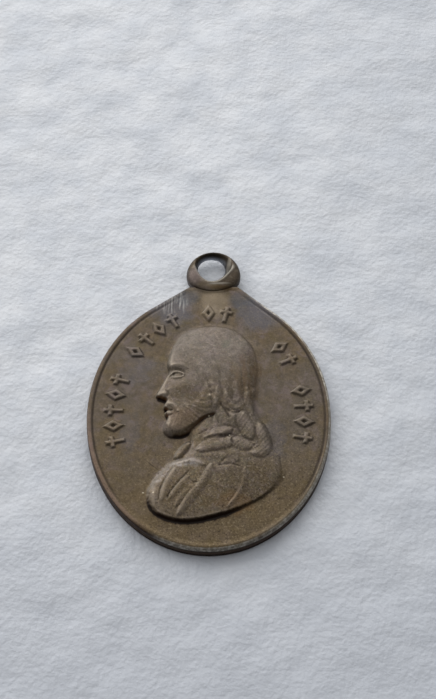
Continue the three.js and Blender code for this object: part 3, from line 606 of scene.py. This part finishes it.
def loop_mesh(around=160):
    """The drilled, flattened ball: sections round the hole, each from mouth to mouth over the ball."""
    cx, cy = LOOP_OFFSET, HALF_HEIGHT + LOOP_LIFT
    hy = cy + HOLE_OFFSET
    half = LOOP_THICKNESS / 2
    sections = []
    for phi in np.linspace(0, 2 * math.pi, around, endpoint=False):
        way = np.array([math.cos(phi), math.sin(phi)])
        fullness = LOOP_FULLNESS + 2.2 * max(0.0, -way[1]) ** 2

        def out(rho):
            """How far out on the ball a place lies, 1 at its widest."""
            qx, qy = rho * way[0] / LOOP_RADIUS, HOLE_OFFSET + rho * way[1]
            return math.hypot(qx, qy / (LOOP_ABOVE if qy > 0 else LOOP_BELOW))

        def ball_z(rho):
            return half * max(0.0, 1 - min(out(rho), 1) ** fullness) ** (1 / fullness)

        near, far = 0.5, 4.0
        for _ in range(40):
            middle = (near + far) / 2
            near, far = (middle, far) if out(middle) < 1 else (near, middle)
        reach = near
        wide = mouth_radius(phi)
        mouth = wide
        for _ in range(20):
            mouth = HOLE_WAIST + (wide - HOLE_WAIST) * (ball_z(mouth) / half) ** 0.45
        mouth = min(mouth, reach - LOOP_LEAST)
        waist = min(HOLE_WAIST, mouth - 0.05)
        steps = (1 - np.linspace(0, 1, 15)) ** 2.2
        section = [(rho, ball_z(rho), 0.0) for rho in reach - (reach - mouth) * steps]
        section[-1] = (reach, 0.0, 0.0)
        section += [(rho, -z, 0.0) for rho, z, _ in section[-2::-1]]
        level = ball_z(mouth)
        for t in (-0.8, -0.6, WAIST_LEVEL, -0.1, 0.2, 0.5, 0.78):
            side = 1 + WAIST_LEVEL if t < WAIST_LEVEL else 1 - WAIST_LEVEL
            open_share = abs((t - WAIST_LEVEL) / side) ** 1.5
            rho = waist + (mouth - waist) * open_share
            section.append((rho, level * t, HOLE_SHIFT * (1 - open_share)))
        ring = [(cx + rho * way[0] + dx, hy + rho * way[1], half + z) for rho, z, dx in section]
        sections.append(ring)
    m = len(sections[0])
    corner = np.arange(around)[:, None] * m + np.arange(m)[None, :]
    right, down = np.roll(corner, -1, 0), np.roll(corner, -1, 1)
    faces = np.stack([corner, right, np.roll(right, -1, 1), down], -1).reshape(-1, 4)
    return new_mesh("loop", np.array(sections).reshape(-1, 3), faces.tolist())


def make_medal():
    """Disc and loop joined into one casting."""
    body = disc_mesh()
    loop = loop_mesh()
    for obj in (body, loop):
        bpy.context.view_layer.objects.active = obj
        bpy.ops.object.select_all(action="DESELECT")
        obj.select_set(True)
        bpy.ops.object.mode_set(mode="EDIT")
        bpy.ops.mesh.select_all(action="SELECT")
        bpy.ops.mesh.normals_make_consistent(inside=False)
        bpy.ops.object.mode_set(mode="OBJECT")
    join = body.modifiers.new("join", "BOOLEAN")
    join.operation = "UNION"
    join.object = loop
    join.solver = "MANIFOLD"
    thin = body.modifiers.new("thin", "DECIMATE")
    thin.ratio = KEPT_FACES
    dg = bpy.context.evaluated_depsgraph_get()
    mesh = bpy.data.meshes.new_from_object(body.evaluated_get(dg))
    body.modifiers.clear()
    body.data = mesh
    bpy.data.objects.remove(loop)
    return body


medal = make_medal()
mesh = medal.data
count = len(mesh.vertices)
places = np.empty(count * 3, np.float32)
mesh.vertices.foreach_get("co", places)
places = places.reshape(-1, 3).astype(float)


# Marks for the material, one number per vertex
def attribute(name, values):
    layer = mesh.attributes.new(name, "FLOAT", "POINT")
    layer.data.foreach_set("value", np.asarray(values, np.float32))


px, py, pz = places.T
normals = np.empty(count * 3, np.float32)
mesh.vertex_normals.foreach_get("vector", normals)
rightward, upward, tilt = normals[0::3], normals[1::3], 1 - np.abs(normals[2::3])
here = sample(HEIGHT, px, py)
on_bust = sample(BUST, px, py)
inset = sample(INSET, px, py)
front = ramp(0.9, 1.2, pz) * (py < LOOP_FOOT + 0.1)
on_disc = py < LOOP_FOOT - 0.2
on_loop = py > LOOP_FOOT

# Painted shade at the feet of raised forms, mostly on the side towards the camera
fine = blur(HEIGHT, 0.05)
foot = sample(fine, px, py)
above = np.maximum(sample(fine, px, py + 0.16), sample(fine, px, py + 0.3)) - foot
beside = sample(fine, px + 0.24, py + 0.08) - foot
above = np.maximum(above, beside * 1.3 * ramp(-6.6, -8.0, py))
attribute("foot_shade", ramp(0.19, 0.33, above) * front * (1 - 0.75 * ramp(11.0, 12.5, py)))

# Sunk places, a painted highlight on ridges that face the light, and rubbed high places
groove = np.exp(-((inset - RIM_WIDTH - GROOVE_OFFSET) / 0.16) ** 2) * ramp(-10, -5, py)
on_form = ramp(0.22, 0.45, on_bust) + ramp(0.02, 0.15, sample(blur(BORDER, 0.08), px, py))
on_form = np.clip(0.05 + on_form + 0.6 * groove, 0, 1)
sunk_and_lit = (sample(blur(HEIGHT, 0.22), px, py) - here) / 0.10
# Painted highlight: ridges count only where they face the light
sunlit = ramp(-0.45, 0.1, upward) * (0.5 + 0.5 * ramp(0.1, 0.4, on_bust))
sunk_and_lit = np.where(sunk_and_lit < 0, sunk_and_lit * sunlit, sunk_and_lit)
attribute("hollow", np.clip(sunk_and_lit, -1, 1) * front * on_form)
high = (here - sample(blur(HEIGHT, 0.9), px, py)) / 0.25
attribute("high", np.clip(high, -1, 1) * front)
attribute("raised", ramp(0.06, 0.36, on_bust) * front)

# The hole, painted dark inside, a painted highlight on its lip and the painted shade below the lip
aside, along = px - LOOP_OFFSET, py - HALF_HEIGHT - LOOP_LIFT - HOLE_OFFSET
attribute("bore", ramp(0.98, 0.90, np.hypot(aside, along) / HOLE_MOUTH) * on_loop)
mouth = np.hypot(aside, along) / mouth_radius(np.arctan2(along, aside))
# Painted highlight along the hole's near lip
lip = np.exp(-((mouth - 0.99) / 0.07) ** 2) * ramp(1.2, 1.5, pz) * on_loop
attribute("lip", lip * ramp(0.4, -0.2, along))
# Painted shade just below the lip
below = np.exp(-((mouth - 1.13) / 0.07) ** 2) * ramp(1.1, 1.4, pz) * on_loop
attribute("lip_foot_shade", below * ramp(0.3, -0.3, along) * ramp(-0.9, 0.2, aside))

# The rim
attribute("edge", ramp(0.9, 0.0, inset) * ramp(0.4, 0.8, pz / THICKNESS) * on_disc)
rim_groove = np.exp(-((inset - RIM_WIDTH - 0.10) / 0.10) ** 2)
attribute("rim_groove", rim_groove * front * ramp(12.0, 8.0, py))

# Slopes: painted light on those towards the light, painted shade on undersides and the wall, and the wall's
# seam
# Painted light on slopes that face the window
lit_slope = 0.65 * upward - 0.75 * rightward
relief = ramp(0.02, 0.10, sample(BUST + BORDER, px, py))
attribute("lit_slope", ramp(0.30, 0.75, lit_slope) * front * relief)
# Painted shade on undersides, warmed under the head, and on the disc's wall
undercut = ramp(0.18, 0.6, tilt) * ramp(-0.1, -0.6, upward)
on_head = ramp(0.12, 0.35, on_bust) * ramp(-3.4, -3.0, py)
attribute("shade", undercut * on_head * front)
steep = ramp(0.40, 0.95, tilt)
attribute("steep", np.where(front > 0.5, undercut * (1 - 0.75 * on_head), steep))
attribute("seam", np.exp(-((pz - 0.6) / 0.09) ** 2) * steep * on_disc)

places[:, 1] -= CENTRE_SHIFT
mesh.vertices.foreach_set("co", (places * MM).astype(np.float32).reshape(-1))
mesh.shade_smooth()
mesh.update()


# Materials
class Graph:
    """Short ways to add and link shader nodes."""

    def __init__(self, name):
        self.material = bpy.data.materials.new(name)
        self.material.use_nodes = True
        self.nodes = self.material.node_tree.nodes
        self.links = self.material.node_tree.links
        self.shader = self.nodes["Principled BSDF"]

    def put(self, socket, value):
        if isinstance(value, bpy.types.NodeSocket):
            self.links.new(value, socket)
        else:
            socket.default_value = value

    def add(self, kind, inputs=None, **fields):
        node = self.nodes.new(kind)
        for key, value in fields.items():
            setattr(node, key, value)
        for key, value in (inputs or {}).items():
            self.put(node.inputs[key], value)
        return node

    def maths(self, operation, a, b):
        return self.add("ShaderNodeMath", {0: a, 1: b}, operation=operation).outputs[0]

    def times(self, a, b):
        return self.maths("MULTIPLY", a, b)

    def plus(self, a, b):
        return self.maths("ADD", a, b)

    def most(self, a, b):
        return self.maths("MAXIMUM", a, b)

    def vector(self, operation, a, b):
        return self.add("ShaderNodeVectorMath", {0: a, 1: b}, operation=operation).outputs[0]

    def span(self, value, low, high, to_low=0.0, to_high=1.0):
        """A smooth step of a value from low to high."""
        node = self.add("ShaderNodeMapRange", {0: value, 1: low, 2: high, 3: to_low, 4: to_high},
                        interpolation_type="SMOOTHSTEP")
        return node.outputs[0]

    def noise(self, scale, detail=4.0, rough=0.55, warp=0.0, coords=None):
        node = self.add("ShaderNodeTexNoise", {"Scale": scale, "Detail": detail, "Roughness": rough,
                                               "Distortion": warp})
        self.put(node.inputs["Vector"], coords if coords is not None else self.coords)
        return node.outputs["Fac"]

    def mix(self, share, a, b):
        node = self.add("ShaderNodeMix", {0: share, 6: a, 7: b}, data_type="RGBA")
        return node.outputs[2]

    def value(self, name):
        return self.add("ShaderNodeAttribute", attribute_name=name).outputs["Fac"]


def colour(r, g, b):
    def linear(v):
        v /= 255
        return v / 12.92 if v <= 0.04045 else ((v + 0.055) / 1.055) ** 2.4
    return (linear(r), linear(g), linear(b), 1.0)


# Grey places of the patina: strength, middle, radii, raggedness
GREY_PLACES = {
    "left_shoulder": (1.0, -3.6, 11.8, 2.6, 2.0, 0.5),
    "right_shoulder": (1.0, 4.9, 11.3, 2.6, 2.2, 0.5),
    "before_brow": (0.55, -6.6, 5.2, 1.6, 2.0, 0.8),
    "left_field": (0.5, -7.2, -1.8, 1.0, 2.4, 0.8),
    "loop_left": (1.0, -1.7, 15.3, 1.1, 1.2, 0.2),
    "behind_curls": (0.45, 5.8, -2.8, 1.2, 2.6, 0.8),
}
SPECKS = [(6.56, -6.46), (1.84, -2.53), (0.0, -0.44), (-4.8, -8.2), (-5.7, -8.0), (-3.9, 0.1)]


class Bronze(Graph):
    """Old cast bronze, laid on in layers from the patina to the marks of wear, with painted shade and painted
    highlights among them.
    """

    def __init__(self):
        super().__init__("old_bronze")
        where = self.add("ShaderNodeTexCoord").outputs["Object"]
        self.coords = self.vector("MULTIPLY", where, (1000, 1000, 1000))
        parts = self.add("ShaderNodeSeparateXYZ", {0: self.coords}).outputs
        self.x, self.y, self.z = parts[0], self.plus(parts[1], CENTRE_SHIFT), parts[2]
        self.mottle = self.noise(1.6, 5, 0.65)
        self.grain = self.noise(6.0, 3, 0.75)
        self.hollow, self.edge, self.raised = self.value("hollow"), self.value("edge"), self.value("raised")
        self.on_bust = self.span(self.raised, 0.1, 0.7)
        self.grey = 0.0
        self.base = None

    def patch(self, cx, cy, rx, ry, ragged=0.5, scale=0.9, turn=0.0):
        """A stain about a place, 1 in its middle, with an uneven edge."""
        c, s = math.cos(math.radians(turn)), math.sin(math.radians(turn))
        dx, dy = self.maths("SUBTRACT", self.x, cx), self.maths("SUBTRACT", self.y, cy)
        u = self.plus(self.times(dx, c / rx), self.times(dy, s / rx))
        v = self.maths("SUBTRACT", self.times(dy, c / ry), self.times(dx, s / ry))
        d = self.plus(self.times(u, u), self.times(v, v))
        wobble = self.times(self.maths("SUBTRACT", self.noise(scale), 0.5), 4 * ragged)
        return self.span(self.plus(d, wobble), 1.3, 0.1)

    def lay(self, share, amount, tone):
        """Puts a tone over what is there."""
        self.base = self.mix(self.times(share, amount), self.base, colour(*tone))

    def patina(self):
        """The brown skin and its slow changes of tone."""
        cloud = self.noise(0.35, 3)
        tint = self.noise(0.9, 4, 0.6, 0.6, self.vector("ADD", self.coords, (9, 4, 0)))
        self.base = self.mix(self.span(cloud, 0.35, 0.65), colour(93, 78, 58), colour(87, 77, 66))
        self.lay(self.span(self.mottle, 0.35, 0.7), 0.6, (75, 66, 53))
        self.lay(self.span(tint, 0.50, 0.68), 0.6, (102, 89, 84))
        self.lay(self.span(tint, 0.47, 0.30), 0.6, (83, 71, 46))
        self.lay(self.span(self.y, -2.0, -9.0), 0.6, (88, 72, 45))

    def grey_places(self):
        """Grey patches, smoky at the shoulders."""
        for strength, *place in GREY_PLACES.values():
            self.grey = self.most(self.grey, self.times(self.patch(*place), strength))
        self.lay(self.grey, 0.75, (80, 77, 80))
        smoky = self.most(self.patch(-2.2, 13.0, 1.5, 1.0, 0.4), self.patch(3.1, 12.7, 1.4, 1.0, 0.4))
        self.lay(smoky, 0.55, (66, 68, 72))

    def bust_tones(self):
        """The paler head, and blotches and flecks on all the bust."""
        crown = self.patch(-1.0, 7.6, 5.4, 5.0, 0.6, 0.5)
        self.lay(self.times(crown, self.on_bust), 0.5, (110, 101, 94))
        # A pale worn place on the temple that also stands in for a painted highlight
        temple = self.patch(-2.3, 8.5, 1.7, 2.2, 0.4, 0.8)
        self.lay(self.times(temple, self.raised), 0.12, (140, 132, 122))
        cheek = self.patch(-3.0, 5.3, 1.7, 1.6, 0.4)
        self.lay(self.times(cheek, self.raised), 0.45, (80, 72, 61))
        forehead = self.patch(-3.0, 8.0, 1.8, 1.8, 0.6)
        self.lay(self.times(forehead, self.raised), 0.35, (80, 74, 64))
        pinkish = self.span(self.noise(1.1, 5, 0.7, 1.0), 0.50, 0.64)
        self.lay(self.times(pinkish, self.on_bust), 0.45, (98, 84, 76))
        greenish = self.span(self.noise(1.4, 5, 0.7, 0.8), 0.47, 0.36)
        self.lay(self.times(greenish, self.on_bust), 0.35, (88, 86, 72))
        fleck = self.noise(3.4, 4, 0.7, 0.6)
        self.lay(self.times(self.span(fleck, 0.52, 0.68), self.on_bust), 0.5, (134, 121, 111))
        self.lay(self.times(self.span(fleck, 0.48, 0.33), self.on_bust), 0.5, (74, 65, 53))
        self.lay(self.patch(1.55, 7.25, 0.5, 0.6, 0.3, 1.5), 0.5, (76, 76, 64))

    def stains(self):
        """The pale band below the loop, the streaked brown behind the head, the low left rim."""
        self.lay(self.patch(0.5, 12.3, 1.5, 2.0, 0.3), 0.7, (126, 112, 92))
        upright = self.vector("MULTIPLY", self.coords, (2.6, 0.5, 1.0))
        streaks = self.span(self.noise(1.3, 3, 0.6, 0.3, upright), 0.36, 0.62, 0.15, 1.0)
        self.lay(self.times(self.patch(3.6, 3.6, 1.5, 3.0, 0.7), streaks), 0.45, (88, 66, 42))
        low_left = self.times(self.span(self.x, -4.0, -8.0), self.span(self.y, 2.0, -4.0, 0.2, 1.0))
        self.lay(self.times(self.span(self.edge, 0.45, 0.7), low_left), 0.5, (122, 100, 88))
        self.lay(self.patch(2.3, -9.1, 1.7, 1.2, 0.7), 0.4, (104, 76, 44))

    def wear(self):
        """Rubbed high places, the brown beard, the pale worn collar and shoulder."""
        self.lay(self.span(self.value("high"), 0.1, 0.9), 0.4, (124, 112, 101))
        beard = self.patch(-2.5, -0.9, 1.9, 1.4, 0.2)
        self.lay(self.times(beard, self.on_bust), 0.45, (92, 70, 44))
        collar = self.patch(-2.2, -5.2, 1.9, 0.5, 0.4, 1.5, -4)
        shoulder = self.patch(-4.15, -6.3, 0.5, 2.0, 0.3, 1.5, -36)
        worn = self.most(self.times(collar, self.span(self.raised, -0.2, 0.4)), self.times(shoulder, 0.8))
        worn = self.times(worn, self.span(self.noise(3.4, 4, 0.7), 0.40, 0.56, 0.25, 1.0))
        self.lay(worn, 0.65, (156, 148, 142))

    def recesses(self):
        """Dark hollows, painted highlights on ridges that face the light, the cast grain, and painted shade
        at the feet of raised forms.
        """
        self.lay(self.span(self.hollow, 0.10, 0.7), 0.7, (46, 37, 28))
        # Painted highlight on ridges that face the light
        self.lay(self.span(self.hollow, -0.12, -0.7), 0.55, (150, 137, 120))
        coarse = self.times(self.span(self.y, 2.0, -8.0, 0.42, 1.0), self.span(self.x, -2.0, -8.0, 1.0, 0.65))
        coarse = self.times(coarse, self.plus(1.0, self.times(self.raised, 0.1)))
        self.lay(self.span(self.grain, 0.53, 0.70), coarse, (122, 108, 84))
        self.lay(self.span(self.grain, 0.46, 0.30), coarse, (48, 39, 29))
        # Painted shade at the feet of raised forms, made ragged with the grain
        rough_foot = self.times(self.maths("SUBTRACT", self.grain, 0.5), 0.9)
        shade_and_grain = self.plus(self.value("foot_shade"), rough_foot)
        self.lay(self.span(shade_and_grain, 0.05, 0.55), 0.55, (58, 40, 26))
        self.lay(self.span(shade_and_grain, 0.30, 0.80), 0.92, (24, 16, 10))

    def slopes(self):
        """Painted shade on the wall and the undersides, warmer under the head, painted light on slopes
        towards the light, and the seam.
        """
        # Painted shade on the wall and undersides
        self.lay(self.value("steep"), 0.9, (36, 16, 9))
        self.lay(self.value("shade"), 0.8, (108, 76, 46))
        # Painted light on slopes that face the light
        self.lay(self.value("lit_slope"), 0.55, (158, 148, 134))
        self.lay(self.value("seam"), 0.5, (112, 96, 88))

    def rim(self):
        """The dark groove inside the rim, a worn band at the lower right, and a painted highlight along the
        rim's edge at the right and below.
        """
        groove = self.times(self.value("rim_groove"), self.span(self.y, -10.5, -7.0))
        self.lay(self.times(groove, self.span(self.x, -12.0, 8.0, 0.8, 0.95)), 0.85, (40, 31, 24))
        rub = self.span(self.noise(2.4, 4, 0.7), 0.42, 0.62)
        low_right = self.times(self.span(self.x, 2.0, 7.0), self.span(self.y, -2.0, -6.0))
        band = self.times(self.span(self.edge, 0.45, 0.75), low_right)
        self.lay(self.times(band, self.span(rub, 0.0, 1.0, 0.4, 1.0)), 0.4, (140, 130, 115))
        # Painted highlight along the rim's edge at the right and below
        low = self.times(self.span(self.y, -11.5, -13.0), self.span(self.x, -7.0, -3.0))
        lit = self.times(self.most(self.span(self.x, 3.0, 6.0), low), self.plus(self.times(rub, 0.6), 0.4))
        self.lay(self.times(self.span(self.edge, 0.80, 0.90), lit), 0.8, (186, 180, 168))

    def loop(self):
        """Painted shade in the hole with a painted reflection on its far wall, the mottled ball with painted
        shade on its right and below its lip, and painted highlights on its lip and two facets.
        """
        bore = self.value("bore")
        # Painted shade inside the hole
        self.lay(bore, 0.7, (20, 22, 18))
        # Painted reflection of the pale table on the hole's far wall
        far_wall_reflection = self.times(self.span(self.z, 1.18, 0.62), self.span(self.y, 16.9, 17.7, 0.2, 1.0))
        self.lay(self.times(bore, far_wall_reflection), 0.92, (206, 212, 224))
        ball = self.times(self.span(self.y, 13.9, 14.6), self.maths("SUBTRACT", 1.0, bore))
        self.lay(ball, 0.62, (62, 51, 36))
        skin = self.noise(2.4, 5, 0.7, 0.5)
        self.lay(self.times(self.span(skin, 0.50, 0.66), ball), 0.4, (128, 116, 100))
        self.lay(self.times(self.span(skin, 0.48, 0.34), ball), 0.4, (56, 46, 32))
        self.lay(self.patch(-1.3, 15.3, 1.0, 1.0, 0.5, 1.5), 0.45, (96, 82, 78))
        # Painted shade on the ball's right side, turned from the light
        self.lay(self.times(self.span(self.x, 0.6, 1.6), self.span(self.y, 14.2, 15.4)), 0.35, (66, 54, 40))
        # Painted shade in the valley below the lip, on the right
        self.lay(self.patch(1.3, 13.95, 1.6, 0.26, 0.1, 2), 0.7, (72, 54, 26))
        # Painted highlight along the lip
        lip = self.times(self.value("lip"), self.span(self.x, -1.8, 1.2, 0.35, 1.0))
        self.lay(lip, 0.75, (152, 146, 134))
        # Painted shade just below the lip
        self.lay(self.value("lip_foot_shade"), 0.6, (40, 32, 22))
        # Painted highlights on a facet inside the hole and on the ball's near face
        right_facet_highlight = self.patch(1.84, 16.8, 0.24, 1.15, 0.1, 2, -7)
        low_facet_highlight = self.patch(0.9, 14.36, 1.2, 0.11, 0.1, 2, 5)
        self.lay(self.most(right_facet_highlight, low_facet_highlight), 0.5, (150, 143, 130))

    def small_marks(self):
        """Scratches at the left shoulder, a dark pit line by the collar, and light specks."""
        streak = self.vector("MULTIPLY", self.coords, (6.0, 0.4, 1.0))
        scratch = self.span(self.noise(1.0, 3, 0.6, 0.4, streak), 0.49, 0.66)
        self.lay(self.times(scratch, self.patch(-3.7, 12.4, 1.9, 1.3)), 0.6, (158, 155, 148))
        self.lay(self.patch(-5.0, -5.26, 0.8, 0.05, 0.05, 2.0, -40), 0.7, (44, 34, 26))
        for speck_x, speck_y in SPECKS:
            self.lay(self.patch(speck_x, speck_y, 0.09, 0.07, 0.0), 0.7, (192, 180, 156))

    def surface(self):
        """Gloss and fine bumps."""
        self.shader.inputs["Metallic"].default_value = 0.75
        rough = self.span(self.mottle, 0.3, 0.7, 0.42, 0.56)
        rough = self.plus(rough, self.span(self.hollow, 0.0, 0.8, 0.0, 0.25))
        rough = self.maths("SUBTRACT", rough, self.times(self.grey, 0.10))
        self.put(self.shader.inputs["Roughness"], rough)
        fine = self.plus(self.times(self.grain, 0.6), self.times(self.noise(28.0, 3), 0.4))
        bump = self.add("ShaderNodeBump", {"Strength": 0.5, "Distance": 0.00004, "Height": fine})
        self.put(self.shader.inputs["Normal"], bump.outputs[0])


def bronze():
    metal = Bronze()
    metal.patina()
    metal.grey_places()
    metal.bust_tones()
    metal.stains()
    metal.wear()
    metal.recesses()
    metal.slopes()
    metal.rim()
    metal.loop()
    metal.small_marks()
    metal.put(metal.shader.inputs["Base Color"], metal.base)
    metal.surface()
    return metal.material


mesh.materials.clear()
mesh.materials.append(bronze())
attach(medal, "root")
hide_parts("medal")


# Stage
def table_top():
    """A pale table with soft lumps and a fine weave, with painted shade that makes it darker towards the
    camera and the right.
    """
    g = Graph("pale_table")
    g.coords = g.add("ShaderNodeTexCoord").outputs["Object"]
    cloud = g.span(g.noise(220, 4, 0.6), 0.3, 0.7)
    tone = g.mix(cloud, colour(202, 204, 207), colour(220, 220, 220))
    across = g.add("ShaderNodeSeparateXYZ", {0: g.coords}).outputs
    # Painted shade: darker towards the camera and the right
    tone = g.mix(g.span(across[1], 0.01, -0.035), tone, colour(190, 192, 196))
    tone = g.mix(g.span(across[0], 0.0, 0.025, 0, 0.45), tone, colour(184, 187, 191))
    g.put(g.shader.inputs["Base Color"], tone)
    g.shader.inputs["Roughness"].default_value = 0.5
    lumps = g.plus(g.noise(170, 4, 0.45), g.times(g.noise(2300, 2, 0.5), 0.11))
    bump = g.add("ShaderNodeBump", {"Strength": 0.45, "Distance": 0.0016, "Height": lumps})
    g.put(g.shader.inputs["Normal"], bump.outputs[0])
    bpy.ops.mesh.primitive_plane_add(size=2, location=(0, 0, 0))
    floor = bpy.context.object
    floor.name = "table_top"
    floor.data.materials.append(g.material)


table_top()

# Camera at the photograph's angle
ELEVATION = 56
DISTANCE = 130 * MM
TARGET = Vector((0.815 * MM, (6.965 - CENTRE_SHIFT) * MM, THICKNESS * MM))
FOCAL_PIXELS = 1400.8
PICTURE_HEIGHT = 699
SENSOR = 36
camera = bpy.data.objects.new("camera", bpy.data.cameras.new("camera"))
bpy.context.collection.objects.link(camera)
camera.data.sensor_width = SENSOR
camera.data.lens = FOCAL_PIXELS * SENSOR / PICTURE_HEIGHT
camera.data.clip_start = 0.005
slope = math.radians(ELEVATION)
camera.location = TARGET + DISTANCE * Vector((0, -math.cos(slope), math.sin(slope)))
camera.rotation_euler = (math.pi / 2 - slope, 0, 0)
bpy.context.scene.camera = camera


# Light: a wide window above and behind, and a sky that is brighter on the window's side
def soft_light(name, place, width, height, watts, tint):
    light = bpy.data.objects.new(name, bpy.data.lights.new(name, "AREA"))
    bpy.context.collection.objects.link(light)
    light.data.shape = "RECTANGLE"
    light.data.size = width
    light.data.size_y = height
    light.data.energy = watts
    light.data.color = tint
    light.location = place
    light.rotation_euler = (-Vector(place)).to_track_quat("-Z", "Y").to_euler()


soft_light("window", (-0.2, 0.56, 0.38), 1.3, 0.5, 4.0, (0.97, 0.98, 1.0))

world = bpy.data.worlds.new("studio")
world.use_nodes = True
sky = world.node_tree
way = sky.nodes.new("ShaderNodeTexCoord").outputs["Generated"]
toward = sky.nodes.new("ShaderNodeVectorMath")
toward.operation = "DOT_PRODUCT"
toward.inputs[1].default_value = (-0.28, 0.85, 0.42)
sky.links.new(way, toward.inputs[0])
fade = sky.nodes.new("ShaderNodeMapRange")
fade_levels = {"From Min": -0.5, "From Max": 1.0, "To Min": 0.08, "To Max": 1.10}
for socket, level in fade_levels.items():
    fade.inputs[socket].default_value = level
sky.links.new(toward.outputs["Value"], fade.inputs[0])
sky.links.new(fade.outputs[0], sky.nodes["Background"].inputs[1])
sky.nodes["Background"].inputs[0].default_value = (0.92, 0.95, 1.0, 1)
bpy.context.scene.world = world
bpy.context.scene.view_settings.view_transform = "Standard"
